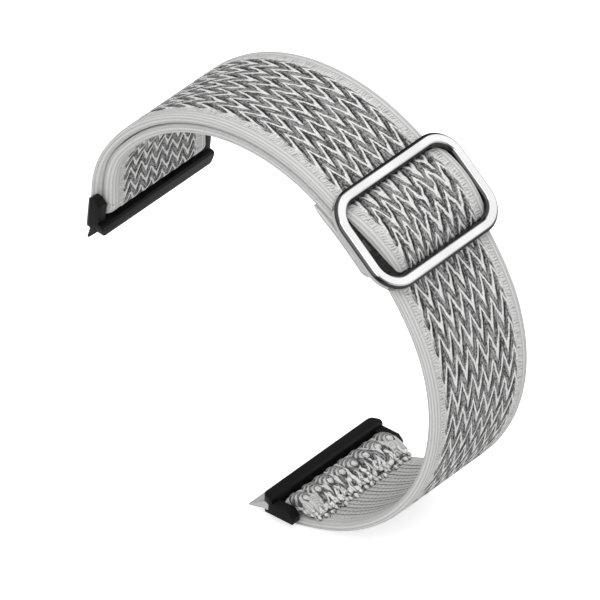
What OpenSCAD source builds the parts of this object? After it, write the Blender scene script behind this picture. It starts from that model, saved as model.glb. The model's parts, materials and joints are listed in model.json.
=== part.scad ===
// Adjustable elastic watch strap: braided nylon webbing, steel slider, two watch connectors

/* [Webbing] */
// Width of the webbing over both selvage edges
strap_w = 21.4; // [18:0.1:24]
// Thickness of one layer of webbing
web_t = 1.4; // [1.1:0.05:1.7]
// Width of the plain selvage band at each edge
edge_w = 1.8; // [1.2:0.1:2.6]
// Space between the outer run and the return run
layer_gap = 0.25; // [0.2:0.05:0.6]
// Length of the straight heel beside the lower fold
heel_l = 0.8; // [0.5:0.1:3]
// Slope of the heel away from the lower connector
heel_slope = 13.5; // [8:0.5:18]
// Length of the sewn-down tab at the lower connector
tab_l = 4.6; // [4:0.1:7]

/* [Ring] */
// Radius of the bend beside the lower connector
heel_r = 46; // [40:1:60]
// Radius of the lower side
lower_r = 31.1; // [29:0.1:33]
// Radius of the side below the slider
side_r = 30.2; // [28:0.1:32]
// Radius of the stretch that the slider moves on
slide_r = 44.3; // [40:0.1:52]
// Radius of the top
top_r = 31.3; // [29:0.1:34]
// Radius of the side above the upper connector
left_r = 18.6; // [17:0.1:22]

/* [Slider] */
// Space between the webbing and each side bar of the slider frame
frame_side = 1; // [0.8:0.1:2.6]
// Height of the slider frame along the strap
frame_h = 16.9; // [15:0.1:19]
// Width of the frame's bars
frame_bar = 2; // [1.6:0.1:2.3]
// Thickness of the frame's bars
frame_t = 1.8; // [1.4:0.1:2.2]
// Outer corner radius of the frame
frame_r = 5; // [4:0.1:6]
// Width of the middle bar along the strap
mid_w = 2.6; // [2.2:0.1:3]
// Thickness of the middle bar
mid_t = 1; // [0.9:0.05:1.3]
// Length of the loop end sewn back under the return run
tail_l = 9; // [8:0.5:12]
// Rise of the webbing hump in the slider's window
hump_rise = 1; // [0.8:0.05:1.4]
// Place of the slider on its stretch, as the angle of the strap's outward normal
slider_at = 49; // [47:0.5:51]

/* [Connectors] */
// Length of a connector across the strap
conn_l = 25.6; // [25.4:0.1:27]
// Thickness of a connector from the lip to the outer face
conn_t = 3.6; // [3.6:0.1:4.1]
// Depth of the connector's bar toward the watch
conn_d = 1.8; // [1.6:0.1:2.2]
// Reach of the lip past the bar, toward the watch
lip_over = 0.5; // [0.3:0.1:0.8]
// Reach of the arms past the pin
arm_reach = 1.4; // [1.3:0.1:2.2]
// Diameter of the webbing pin
pin_d = 1.6; // [1.4:0.05:1.8]
// Radial clearance of the pin in its holes and in the fold
pin_clear = 0.05; // [0.03:0.01:0.08]
// Length of the lower steel tongue past the connector's bar
tongue_l = 2.8; // [2.2:0.1:3.2]
// Length of the upper steel tongue past the connector's bar
tongue_short = 1.6; // [1:0.1:2.2]
// Thickness of the steel tongue at its root
tongue_t = 1.3; // [1.1:0.05:1.5]
// Length of the rounding at the connector's two corners
corner_cut = 1.5; // [1:0.1:2.2]
// Bevel under each end of a connector
end_cut = 0.8; // [0.4:0.1:1]
// Swing of the upper connector about its pin, outward from the run of the webbing
swing_upper = 6; // [0:1:12]

/* [Seams] */
// Stitches in each row
stitches = 14; // [10:1:18]
// Diameter of the sewing thread
thread_d = 0.6; // [0.4:0.05:0.8]

/* [Hidden] */
$fn = 64;
eps = 0.01;
// Clearance between the slider and the webbing that it moves on
slide_clear = 0.2;
// Side play of the webbing between the arms and in the slider
side_play = 0.4;
// Sweep of each arc of the ring, from the lower connector round to the upper one, which hangs upright
first_sweeps = [6.3, 60.8, 40.9, 32.6, 85.2];
sweeps = concat(first_sweeps, 270 - heel_slope - sum(first_sweeps, 5));
radii = [heel_r, lower_r, side_r, slide_r, top_r, left_r];
half_w = strap_w / 2;
core_w = half_w - edge_w;
fold_ri = pin_d / 2 + pin_clear;
fold_ro = fold_ri + web_t;
pin_lower = [0, fold_ro];
function dir(a) = [cos(a), sin(a)];
function sum(v, n) = n <= 0 ? 0 : v[n - 1] + sum(v, n - 1);
function start_angle(i) = heel_slope - 90 + sum(sweeps, i);
heel_start = pin_lower + fold_ro * dir(start_angle(0));
heel_in = dir(start_angle(0) + 180);
function centre(i) = i == 0 ? heel_start + heel_l * dir(heel_slope) + heel_r * heel_in
    : centre(i - 1) + (radii[i - 1] - radii[i]) * dir(start_angle(i));
ring_end = centre(5) + left_r * dir(180);
pin_upper = ring_end + [fold_ro, 0];
ring_right = centre(2).x + side_r * cos(max(0, start_angle(2)));
// The lower fold touches z = 0, with the middle of the outline over the origin
mid_x = (ring_end.x + ring_right) / 2;

// Slider levels, as radii about the centre of the slider's stretch
web_in = slide_r - web_t;
loop_t = web_t - 0.4;
loop_out = web_in - slide_clear;
mid_out = loop_out - loop_t - pin_clear;
mid_in = mid_out - mid_t;
tail_out = mid_in - pin_clear;
tail_in = tail_out - loop_t;
window_h = frame_h - 2 * frame_bar;
window_w = strap_w + 2 * frame_side;
frame_w = window_w + 2 * frame_bar;
frame_under = sqrt(pow(slide_r + slide_clear, 2) - pow(window_h / 2, 2));
lug_w = frame_side - side_play / 2 + frame_bar / 4;

module place() translate([-mid_x, 0, 0]) children();

// Turns local X to the outward normal at angle a, with local Z along the strap toward the upper connector
module polar(c, a) translate([c.x, 0, c.y]) rotate([0, -a, 0]) children();

// Sections of webbing along an arc about c, each a pair of points: face toward the wrist, outer face
facet = 2.5;
function arc_sections(c, r_in, r_out, a0, a1, first = 0) = let (n = ceil(abs(a1 - a0) / facet))
    [for (i = [first : n]) let (d = dir(a0 + (a1 - a0) * i / n)) [c + r_in * d, c + r_out * d]];

// Side outline through the sections, with a share of the thickness taken off both faces
function outline(sections, inset = 0) = concat([for (s = sections) s[0] + inset * (s[1] - s[0])],
    [for (i = [len(sections) - 1 : -1 : 0]) sections[i][1] + inset * (sections[i][0] - sections[i][1])]);

// Slab of that outline between two places across the webbing
module slab(sections, y0, y1, inset = 0) translate([0, y1, 0]) rotate([90, 0, 0]) linear_extrude(y1 - y0)
    polygon(outline(sections, inset));

// Side 0 is the core, -1 and 1 the selvages, each with a thinner free edge
edge_soft = 0.2;
lip_w = 0.35;
module strip(sections, side) {
    if (side == 0) slab(sections, -core_w, core_w);
    if (side != 0) mirror([0, (1 - side) / 2, 0]) {
        slab(sections, core_w, half_w - lip_w);
        slab(sections, half_w - lip_w, half_w, edge_soft);
    }
}

// Sections of the outer run: the heel, then the six arcs of the ring
function arc_of_ring(i) = arc_sections(centre(i), radii[i] - web_t, radii[i], start_angle(i), start_angle(i + 1),
    i == 0 ? 0 : 1);
outer_sections = concat([[heel_start + web_t * heel_in, heel_start]], [for (i = [0 : 5]) each arc_of_ring(i)]);

// The return run lies a pin's width from the outer run at the upper fold and closes up to it
open_l = 13;
lengths = [for (i = [0 : 5]) PI / 180 * radii[i] * sweeps[i]];
function ease(k) = k * k * (3 - 2 * k);
function to_end(i, a) = sum(lengths, 6) - sum(lengths, i) - PI / 180 * radii[i] * (a - start_angle(i));
function run_gap(i, a) = layer_gap + (2 * fold_ri - layer_gap) * ease(max(0, 1 - to_end(i, a) / open_l));
function return_at(i, a) = let (r = radii[i] - web_t - run_gap(i, a))
    [centre(i) + (r - web_t) * dir(a), centre(i) + r * dir(a)];
function return_arc(i, a0, first = 1) = let (a1 = start_angle(i + 1), n = ceil((a1 - a0) / facet))
    [for (k = [first : n]) return_at(i, a0 + (a1 - a0) * k / n)];
// End of the return run at the slider, with room for the loop to travel
return_stop = start_angle(4) - 2;
return_sections = concat(return_arc(3, return_stop, 0), return_arc(4, start_angle(4)), return_arc(5, start_angle(5)));

module outer_run() color("gray") place() strip(outer_sections, 0);
module outer_edge_near() color("gainsboro") place() strip(outer_sections, -1);
module outer_edge_far() color("gainsboro") place() strip(outer_sections, 1);
module return_run() color("darkgray") place() strip(return_sections, 0);
module return_edge_near() color("gainsboro") place() strip(return_sections, -1);
module return_edge_far() color("gainsboro") place() strip(return_sections, 1);

// Half turn of webbing round a pin, from angle a0
module fold(p, a0) translate([p.x, 0, p.y]) rotate([90, 0, 0]) rotate([0, 0, a0])
    rotate_extrude(angle = 180) translate([fold_ri + web_t / 2, 0]) soft_rect(web_t, strap_w, edge_soft * web_t);

module fold_upper() color("silver") place() fold(pin_upper, 180);
module fold_lower() color("silver") place() fold(pin_lower, 90 + heel_slope);

// Frame of the heel: X along the strap from the pin, Z toward the wrist from the outer face
module at_heel() place() translate([pin_lower.x, 0, pin_lower.y]) rotate([0, -heel_slope, 0])
    translate([0, 0, -fold_ro]) children();

// Webbing end sewn down on the wrist side, from the lower fold to the row of stitches
tab_top = 2 * fold_ro;

module tab_lower() color("silver") at_heel() rotate([90, 0, 0])
    linear_extrude(strap_w - web_t / 2, center = true) tab_outline();

// Side view of the tab: level from the fold's top, then sloping down to the outer run
slope_a = [tab_l * 0.5, tab_top - 0.1];
slope_b = [tab_l, web_t * 2.1];
slope = atan2(slope_a.y - slope_b.y, slope_b.x - slope_a.x);
function on_run(x) = [x, web_t + 0.02 + pow(max(0, x - heel_l), 2) / (2 * (heel_r - web_t))];
module tab_outline() polygon([[0, tab_top - web_t], [0, tab_top], slope_a, slope_b, on_run(tab_l),
    on_run(tab_l * 0.72), [tab_l * 0.5, tab_top - web_t - 0.25]]);

// A row of stitches across the webbing: flat-bottomed round-topped threads in a zigzag
module stitch_row(len, slant) {
    step = (2 * core_w - len) / (stitches - 1);
    for (i = [0 : stitches - 1])
        translate([0, -core_w + len / 2 + i * step, 0])
            rotate([0, 0, i % 2 == 0 ? slant : -slant])
                stitch(len);
}

module stitch(len) intersection() {
    rotate([0, 90, 0]) cylinder(d = thread_d * 1.5, h = len, center = true, $fn = 24);
    translate([-len / 2, -thread_d, 0]) cube([len, 2 * thread_d, thread_d]);
}

// Overlocked row over the tab's end, and a lighter row beyond it on the outer run
stitch_len = 1.7;
seam_gap = 0.04;
row_space = 0.4;
row_b_x = tab_l + row_space + stitch_len / 2;
row_b_at = asin((row_b_x - heel_l) / (heel_r - web_t - seam_gap));
row_a = (slope_a + 2 * slope_b) / 3;
row_b = [heel_l, heel_r] + (heel_r - web_t - seam_gap) * [sin(row_b_at), -cos(row_b_at)];
module seam_lower_a() color("lightgray") at_heel()
    translate([row_a.x, 0, row_a.y]) rotate([0, slope, 0]) stitch_row(stitch_len, 14);
module seam_lower_b() color("lightgray") at_heel()
    translate([row_b.x, 0, row_b.y]) rotate([0, -row_b_at, 0]) stitch_row(stitch_len, 14);

module at_slider() place() polar(centre(3), slider_at) children();

// A rectangle with its corners taken off
module soft_rect(w, h, c) polygon([[-w / 2 + c, -h / 2], [w / 2 - c, -h / 2], [w / 2, -h / 2 + c],
    [w / 2, h / 2 - c], [w / 2 - c, h / 2], [-w / 2 + c, h / 2], [-w / 2, h / 2 - c], [-w / 2, -h / 2 + c]]);

// The frame's bar section, with soft edges
bar_soft = 0.45;
module bar_section() soft_rect(frame_t, frame_bar, bar_soft);

// Frame in the plane X = 0: straight bars and quarter-round corners of one section
module frame_ring() {
    cw = frame_w / 2 - frame_r;
    ch = frame_h / 2 - frame_r;
    off = frame_r - frame_bar / 2;
    for (s = [-1, 1]) {
        translate([0, 0, s * (frame_h / 2 - frame_bar / 2)]) rotate([90, 0, 0])
            linear_extrude(2 * cw, center = true) bar_section();
        translate([0, s * (frame_w / 2 - frame_bar / 2), 0])
            linear_extrude(2 * ch, center = true) bar_section();
        for (t = [-1, 1])
            translate([0, s * cw, t * ch]) rotate([0, 90, 0]) rotate([0, 0, corner_turn(s, t)])
                rotate_extrude(angle = 90) translate([off, 0]) rotate(90) bar_section();
    }
}

// Start angle of each corner's quarter turn, seen with local Z across to -X
function corner_turn(s, t) = s > 0 ? (t > 0 ? 90 : 0) : (t > 0 ? 180 : 270);

module slider_frame() color("silver") at_slider() {
    translate([frame_under + frame_t / 2, 0, 0]) frame_ring();
    for (s = [-1, 1]) frame_lug(s);
}

// Slim lug that drops from a side bar's inner face to carry the middle bar
lug_h = 2;
lug_in = half_w + side_play / 2;
lug_top = frame_under + frame_t * 0.6;
module frame_lug(s) translate([0, s * (lug_in + lug_w / 2), 0])
    translate([(lug_top + mid_out) / 2, 0, 0]) cube([lug_top - mid_out, lug_w, lug_h], center = true);

module slider_bar() color("gray") at_slider()
    translate([(mid_out + mid_in) / 2, 0, 0]) rotate([90, 0, 0])
        linear_extrude(2 * (lug_in + lug_w), center = true) soft_rect(mid_t, mid_w, 0.3);

// Webbing that humps over the middle bar, with its corners clear of the window's round ones
hump_t = 0.9;
hump_fit = 0.02;
module hump() color("gray") at_slider() intersection() {
    rotate([90, 0, 0]) linear_extrude(strap_w, center = true) hump_outline();
    translate([slide_r, 0, 0]) rotate([0, 90, 0]) linear_extrude(frame_h, center = true)
        soft_rect(window_h - hump_fit, window_w - hump_fit, 0.62 * (frame_r - frame_bar));
}

function hump_x(z) = slide_r + slide_clear + 0.1 + hump_rise * (0.5 + 0.5 * cos(180 * z / (window_h / 2)))
    - z * z / (2 * slide_r);
module hump_outline() {
    n = 24;
    zs = [for (i = [0 : n]) (window_h - 2 * hump_fit) * (i / n - 0.5)];
    polygon(concat([for (z = zs) [hump_x(z), z]],
        [for (i = [n : -1 : 0]) [hump_x(zs[i]) + hump_t * (0.55 + 0.45 * cos(180 * zs[i] / window_h)), zs[i]]]));
}

// End of the webbing: over the middle bar, round it and back under the return run
loop_turn = (loop_out - tail_in) / 2;
loop_mid = (loop_out + tail_in) / 2;
loop_lead = 2.6;
loop_foot = slider_at - (mid_w - mid_t) / 2 / mid_out * 180 / PI;
loop_sections = concat(
    arc_sections(centre(3), loop_out - loop_t, loop_out, slider_at + loop_lead / loop_out * 180 / PI, loop_foot),
    arc_sections(centre(3) + loop_mid * dir(loop_foot), loop_turn - loop_t, loop_turn, loop_foot, loop_foot - 180, 1),
    arc_sections(centre(3), tail_out, tail_in, loop_foot, slider_at + tail_l / tail_out * 180 / PI, 1));
module loop() color("darkgray") place() {
    slab(loop_sections, lip_w - half_w, half_w - lip_w);
    for (side = [-1, 1]) mirror([0, (1 - side) / 2, 0]) slab(loop_sections, half_w - lip_w, half_w, edge_soft);
}

module seam_loop() color("lightgray") place()
    polar(centre(3), slider_at + (mid_w + 3.4) / tail_in * 180 / PI)
        translate([tail_in - seam_gap, 0, 0]) rotate([0, -90, 0]) stitch_row(stitch_len, 14);

// Connectors, in a frame with the pin at the origin, X toward the watch and Z toward the wrist
slot_x = fold_ro + 0.35;
lip_z = fold_ro;
base_z = lip_z - conn_t;
bar_x = slot_x + conn_d;
lip_x = bar_x + lip_over;
arm_in = half_w + side_play;
arm_w = conn_l / 2 - arm_in;
wall = 0.3;
tongue_z = lip_z - wall - lip_over - tongue_t - 0.4;
tongue_in = 1.1;
pin_reach = conn_l / 2 - 0.9;
tongue_fit = 0.02;

// Side view of the bar with its overhanging lip
module bar_outline() polygon([[slot_x, lip_z - wall], [slot_x + wall, lip_z], [lip_x - wall, lip_z], [lip_x, lip_z - wall],
    [bar_x, lip_z - wall - lip_over], [bar_x, tongue_z], [bar_x - wall, base_z], [slot_x, base_z]]);

// Side view of an arm, from the bar to past the pin
arm_top = pin_d / 2 + pin_clear + 0.5;
arm_round = arm_reach * 0.6;
module arm_outline() polygon([[slot_x + eps, arm_top], [arm_round - arm_reach, arm_top], [-arm_reach, arm_top - arm_round],
    [-arm_reach, base_z + arm_round], [arm_round - arm_reach, base_z], [slot_x + eps, base_z]]);

module side_plate(l) rotate([90, 0, 0]) linear_extrude(l, center = true) children();

// Plan of the connector, with the corners on the watch side rounded off in two steps
module conn_plan() {
    l = conn_l / 2;
    c = corner_cut;
    half = [[-2 * arm_reach, l], [lip_x - c, l], [lip_x - c * 0.35, l - c * 0.3], [lip_x, l - c]];
    polygon(concat(half, [for (i = [3 : -1 : 0]) [half[i].x, -half[i].y]]));
}

// The connector seen from the watch, with its ends bevelled below
module conn_front() {
    l = conn_l / 2;
    polygon([[-l, lip_z], [l, lip_z], [l, base_z + end_cut], [l - end_cut, base_z], [end_cut - l, base_z],
        [-l, base_z + end_cut]]);
}

module connector() difference() {
    intersection() {
        union() {
            side_plate(conn_l) bar_outline();
            for (s = [-1, 1]) translate([0, s * (arm_in + arm_w / 2), 0]) side_plate(arm_w) arm_outline();
        }
        translate([0, 0, base_z]) linear_extrude(conn_t) conn_plan();
        translate([-2 * arm_reach, 0, 0]) rotate([90, 0, 90]) linear_extrude(2 * arm_reach + lip_x) conn_front();
    }
    // Pin holes, blind from the inside
    rotate([90, 0, 0]) cylinder(r = pin_d / 2 + pin_clear, h = 2 * (pin_reach + pin_clear), center = true);
    // Slot for the tongue
    translate([bar_x - tongue_in - tongue_fit, -conn_l / 2 - 1, tongue_z - tongue_fit])
        cube([tongue_in + 2, conn_l + 2, tongue_t + 2 * tongue_fit]);
}

// Steel tongue that runs the length of the bar and drops toward its tip
tongue_drop = 0.4;
module tongue(l) side_plate(conn_l - wall) polygon([[bar_x - tongue_in, tongue_z], [bar_x - tongue_in, tongue_z + tongue_t],
    [bar_x, tongue_z + tongue_t], [bar_x + l, tongue_z + tongue_t * 0.5 - l * tongue_drop],
    [bar_x + l, tongue_z + tongue_t * 0.25 - l * tongue_drop], [bar_x, tongue_z]]);

module pin() rotate([90, 0, 0]) cylinder(d = pin_d, h = 2 * pin_reach, center = true);

module at_upper() place() translate([pin_upper.x, 0, pin_upper.y]) rotate([0, 90 + swing_upper, 0]) children();
module at_lower() place() translate([pin_lower.x, 0, pin_lower.y]) mirror([1, 0, 0]) children();

module connector_upper() color("dimgray") at_upper() connector();
module tongue_upper() color("silver") at_upper() tongue(tongue_short);
module pin_upper() color("lightsteelblue") at_upper() pin();
module connector_lower() color("dimgray") at_lower() connector();
module tongue_lower() color("silver") at_lower() tongue(tongue_l);
module pin_lower() color("lightsteelblue") at_lower() pin();

echo(pin_lower = pin_lower - [mid_x, 0], pin_upper = pin_upper - [mid_x, 0], slide_centre = centre(3) - [mid_x, 0],
    reach_lower = bar_x + tongue_l, reach_upper = bar_x + tongue_short);

outer_run();
outer_edge_near();
outer_edge_far();
return_run();
return_edge_near();
return_edge_far();
fold_upper();
fold_lower();
tab_lower();
seam_lower_a();
seam_lower_b();
hump();
loop();
seam_loop();
slider_frame();
slider_bar();
connector_upper();
tongue_upper();
pin_upper();
connector_lower();
tongue_lower();
pin_lower();
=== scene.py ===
import json
import math

import bpy
import numpy as np
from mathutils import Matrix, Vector


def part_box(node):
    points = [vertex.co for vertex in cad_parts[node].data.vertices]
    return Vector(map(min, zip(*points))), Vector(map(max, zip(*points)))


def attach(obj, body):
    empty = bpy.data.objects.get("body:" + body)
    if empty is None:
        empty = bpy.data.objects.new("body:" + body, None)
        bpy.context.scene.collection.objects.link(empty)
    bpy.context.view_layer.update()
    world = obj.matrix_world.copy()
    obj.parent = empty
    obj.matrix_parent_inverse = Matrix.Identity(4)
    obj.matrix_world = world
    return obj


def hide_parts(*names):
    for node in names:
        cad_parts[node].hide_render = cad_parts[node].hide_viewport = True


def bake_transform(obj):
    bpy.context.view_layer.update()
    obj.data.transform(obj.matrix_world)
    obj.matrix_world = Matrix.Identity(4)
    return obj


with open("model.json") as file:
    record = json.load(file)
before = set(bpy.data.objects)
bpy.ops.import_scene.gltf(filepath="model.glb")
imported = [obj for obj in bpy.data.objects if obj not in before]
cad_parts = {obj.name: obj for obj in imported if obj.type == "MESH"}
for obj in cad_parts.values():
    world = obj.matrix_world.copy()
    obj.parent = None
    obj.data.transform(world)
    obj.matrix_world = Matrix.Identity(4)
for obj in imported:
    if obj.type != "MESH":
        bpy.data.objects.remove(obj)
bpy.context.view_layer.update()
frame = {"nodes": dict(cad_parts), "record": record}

bl_info = {
    "name": "Braided Watch Strap",
    "version": (1, 0, 0),
    "blender": (4, 5, 0),
    "location": "View3D > Sidebar > Watch Strap",
    "description": "Dresses a packed watch strap: braided webbing, stitches, steel slider and watch connectors",
    "category": "Object",
}

MM = 0.001


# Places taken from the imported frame, in millimetres in the plane of the ring

def node_middle(name):
    """Middle of a CAD node's box, as X and Z."""
    low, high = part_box(name)
    return np.array([(low[0] + high[0]) / 2, (low[2] + high[2]) / 2]) / MM


def joint_place(name):
    """A joint's place, as X and Z."""
    joint = next(j for j in frame["record"]["behaviour"]["joints"] if j["name"] == name)
    return np.array([joint["pos_m"][0], joint["pos_m"][2]]) / MM


def toward(angle):
    """Unit vector at an angle in degrees."""
    return np.array([math.cos(math.radians(angle)), math.sin(math.radians(angle))])


def spot(place, y):
    """A place in the plane of the ring and across it, as three lengths in metres."""
    return place[0] * MM, y * MM, place[1] * MM


def eased(share):
    """Smooth rise from 0 to 1."""
    return share ** 2 * (3 - 2 * share)


# Sizes and colours that a user would change

def number(name, description, default, **more):
    return bpy.props.FloatProperty(name=name, description=description, default=default, **more)


def vector(name, description, default, **more):
    return bpy.props.FloatVectorProperty(
        name=name, description=description, default=default, size=len(default), **more)


def tint(name, description, default):
    return vector(name, description, default, subtype="COLOR")


class WebbingSettings(bpy.types.PropertyGroup):
    width: number("Width", "Width of the webbing in millimetres", 21.4)
    thickness: number("Thickness", "Thickness of one layer in millimetres", 1.4)
    selvage: number("Selvage", "Width of the plain edge in millimetres", 2.4)
    radii: vector(
        "Radii", "Radii of the ring's arcs in millimetres, from the lower connector round",
        (46.0, 31.1, 30.2, 44.3, 31.3, 18.6))
    sweeps: vector(
        "Sweeps", "Sweeps of the ring's arcs in degrees", (6.3, 60.8, 40.9, 32.6, 85.2, 30.7))
    heel: number("Heel", "Length of the straight heel in millimetres", 0.8)
    slope: number("Slope", "Slope of the heel in degrees", 13.5)
    tab: number("Tab", "Length of the sewn tab in millimetres", 4.6)
    layer_gap: number("Layer gap", "Space between the two runs in millimetres", 0.25)
    column: number("Column", "Width of one zigzag column in millimetres", 2.38)
    row: number("Row", "Length of one zigzag row in millimetres", 4.3)
    cord: number("Cord", "Width of the light zigzag cord in millimetres", 0.38)
    light: tint("Light yarn", "Colour of the light zigzag cord", (0.86, 0.86, 0.85))
    ground: tint("Ground yarn", "Colour of the melange ground", (0.06, 0.06, 0.06))
    # dark is the colour of the painted shade in the braid's hollows
    dark: tint("Painted shade", "Colour of the shade painted in the braid's hollows", (0.003, 0.003, 0.003))
    edge: tint("Selvage yarn", "Colour of the plain edges", (0.73, 0.73, 0.72))


class MetalSettings(bpy.types.PropertyGroup):
    steel: tint("Steel", "Colour of the polished steel", (0.81, 0.81, 0.81))
    black: tint("Black", "Colour of the connectors' coat", (0.004, 0.004, 0.004))
    bevel: number("Edge", "Softening of the metal's edges in millimetres", 0.28)


class StageSettings(bpy.types.PropertyGroup):
    distance: number("Distance", "Camera distance", 2.0, unit="LENGTH")
    azimuth: number("Azimuth", "Camera azimuth in degrees", 40.0)
    elevation: number("Elevation", "Camera elevation in degrees", 36.0)
    scale: number("Scale", "Pixels to the millimetre in a picture 600 pixels wide", 6.8)
    aim: vector(
        "Aim", "Point that the picture's middle looks at, in millimetres", (-1.558, 0.0, 31.284))


def settings():
    scene = bpy.context.scene
    return scene.strap_webbing, scene.strap_metal, scene.strap_stage


# Side view of the strap, in millimetres and degrees

SLIDER_ARC = 3  # number of the ring's arc that the slider travels on
OPEN_LENGTH = 13.0  # stretch beside the upper fold over which the two runs part
RETURN_REACH = 2.0  # how far the return run goes into the slider's arc


class SideView:
    """Arcs of the strap's braided face in the plane of the ring, from the settings and the pins."""

    def __init__(self, webbing):
        self.t = webbing.thickness
        self.gap = webbing.layer_gap
        self.slope = webbing.slope
        self.radii = list(webbing.radii)
        self.sweeps = list(webbing.sweeps)
        self.lengths = [math.radians(sweep) * radius for sweep, radius in zip(self.sweeps, self.radii)]
        self.starts = [self.slope - 90 + sum(self.sweeps[:i]) for i in range(7)]
        self.pin_lower = node_middle("pin_lower")
        self.pin_upper = node_middle("pin_upper")
        self.fold_out = self.pin_lower[1]
        self.fold_in = self.fold_out - self.t
        self.heel_start = self.pin_lower + self.fold_out * toward(self.starts[0])
        self.heel_end = self.heel_start + webbing.heel * toward(self.slope)
        self.centres = [self.heel_end - self.radii[0] * toward(self.starts[0])]
        for i in range(1, 6):
            shift = (self.radii[i - 1] - self.radii[i]) * toward(self.starts[i])
            self.centres.append(self.centres[-1] + shift)
        self.slide = joint_place("slider_travel")
        self.slider_at = math.degrees(math.atan2(*(node_middle("slider_frame") - self.slide)[::-1]))

    def outer(self):
        """Outer run, from the lower fold round to the upper one."""
        run = Run()
        down = toward(self.starts[0])
        run.line(self.heel_start, self.heel_end, down, down)
        for i in range(6):
            run.arc(self.centres[i], self.radii[i], self.starts[i], self.starts[i + 1])
        return run

    def upper_fold(self, length_before):
        """Half turn round the upper connector's pin."""
        run = Run(length_before)
        run.arc(self.pin_upper, self.fold_out, 180, 360)
        return run

    def inner(self, length_before):
        """Return run, braided face toward the wrist, from the upper fold back to the slider."""
        def radius_of(i, angles):
            to_end = sum(self.lengths[i:]) - np.radians(angles - self.starts[i]) * self.radii[i]
            open_share = np.clip(1 - to_end / OPEN_LENGTH, 0, 1)
            gap = self.gap + (2 * self.fold_in - self.gap) * eased(open_share)
            return self.radii[i] - 2 * self.t - gap

        run = Run(length_before)
        last_arc = self.starts[SLIDER_ARC + 1]
        for i, last in ((5, self.starts[5]), (4, last_arc), (SLIDER_ARC, last_arc - RETURN_REACH)):
            run.arc(self.centres[i], lambda angles, i=i: radius_of(i, angles), self.starts[i + 1], last, -1)
        return run

    def lower_fold(self):
        """Half turn round the lower connector's pin, up to the start of the outer run."""
        run = Run(-math.pi * self.fold_out)
        run.arc(self.pin_lower, self.fold_out, 90 + self.slope, 270 + self.slope)
        return run


class Run:
    """Points of a braided face, its outward normals and the length of webbing up to each."""
    STEP = 0.42

    def __init__(self, length_before=0.0):
        self.points, self.normals, self.lengths = [], [], []
        self.end = length_before

    def add(self, points, normals, length):
        """Append a stretch, which shares its first point with the one before."""
        shares = np.linspace(0, 1, len(points))
        first = 1 if self.points else 0
        self.points += list(points)[first:]
        self.normals += list(normals)[first:]
        self.lengths += list(self.end + shares * length)[first:]
        self.end += length

    def line(self, a, b, normal, last):
        """Straight stretch whose face turns from one normal to the other."""
        length = float(np.linalg.norm(np.subtract(b, a)))
        n = max(2, round(length / self.STEP) + 1)
        k = np.linspace(0, 1, n)[:, None]
        normals = (1 - k) * np.array(normal) + k * np.array(last)
        normals /= np.linalg.norm(normals, axis=1)[:, None]
        self.add((1 - k) * np.array(a) + k * np.array(b), normals, length)

    def arc(self, centre, radius, a0, a1, side=1):
        """Arc with a radius or a function of the angle; side is -1 where it faces its centre."""
        size = radius(np.array([a0, a1])).mean() if callable(radius) else radius
        length = abs(math.radians(a1 - a0)) * size
        n = max(3, round(length / self.STEP) + 1)
        angles = np.linspace(a0, a1, n)
        reach = radius(angles)[:, None] if callable(radius) else radius
        spokes = np.stack([np.cos(np.radians(angles)), np.sin(np.radians(angles))], axis=1)
        self.add(centre + reach * spokes, side * spokes, length)


# Objects and their meshes

def clear_selection():
    if bpy.context.mode != "OBJECT":
        bpy.ops.object.mode_set(mode="OBJECT")
    bpy.ops.object.select_all(action="DESELECT")


def choose(obj):
    """Make an object the only one selected."""
    clear_selection()
    bpy.context.view_layer.objects.active = obj
    obj.select_set(True)


def ball(place, y, size, turns=(0.0, 0.0, 0.0), segments=20, rings=12):
    """Stretched ball of three half sizes in millimetres."""
    bpy.ops.mesh.primitive_uv_sphere_add(
        segments=segments, ring_count=rings, radius=1.0, location=spot(place, y),
        rotation=turns, scale=[c * MM for c in size])
    return bpy.context.active_object


def joined(name, parts):
    """The parts as one smooth object, unturned and unscaled at the origin."""
    clear_selection()
    for part in parts:
        part.select_set(True)
    bpy.context.view_layer.objects.active = parts[0]
    bpy.ops.object.transform_apply(location=True, rotation=True, scale=True)
    bpy.ops.object.join()
    obj = bpy.context.active_object
    obj.name = obj.data.name = name
    bpy.ops.object.shade_smooth()
    return obj


def bevel_edges(obj, width):
    """Round an object's edges by a width in millimetres."""
    choose(obj)
    bevel = obj.modifiers.new("edges", "BEVEL")
    bevel.width = width * MM
    bevel.segments = 3
    bevel.limit_method = "ANGLE"
    bevel.angle_limit = math.radians(28)
    bpy.ops.object.modifier_apply(modifier="edges")
    bpy.ops.object.shade_smooth_by_angle(angle=math.radians(35))


def give(obj, *materials):
    if obj.data.materials:
        obj.data.materials.clear()
    for material in materials:
        obj.data.materials.append(material)


# Weave of the webbing, in millimetres across (u) and along (s)

COLUMN_AT = -6.7  # middle of one zigzag column
RISE = 0.94  # share of a row that a cord climbs in half a column
RIB = 1.05  # pitch of the ribs on the back
RIB_LINK = 0.85  # length of one loop of a rib
EDGE_ROUND = 0.42  # share of the thickness that the edge's rounding takes
FACE_COLUMNS = 96  # points across the braided face
EDGE_POINTS = 5  # points round one edge
UV_PER_MM = 0.01  # length on the weave's map for a millimetre of webbing
# Lengths along the unevenly stretched webbing, and the rows of the weave counted there
ROW_PLACES = ((-60.0, -22.1), (39.0, 0.0), (56.9, 4.0), (86.6, 11.0), (103.5, 15.0), (144.0, 24.5),
              (180.0, 40.5), (420.0, 97.0))


def relaxed(webbing, s):
    """Length along the webbing as if every row had the same length."""
    places = np.array(ROW_PLACES)
    return np.interp(s, places[:, 0], places[:, 1]) * webbing.row


def cord_pitch(webbing):
    """Distance from one light cord to the next, square to the cord."""
    slope = 2 * RISE * webbing.row / webbing.column
    return webbing.row / math.sqrt(1 + slope * slope)


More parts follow.
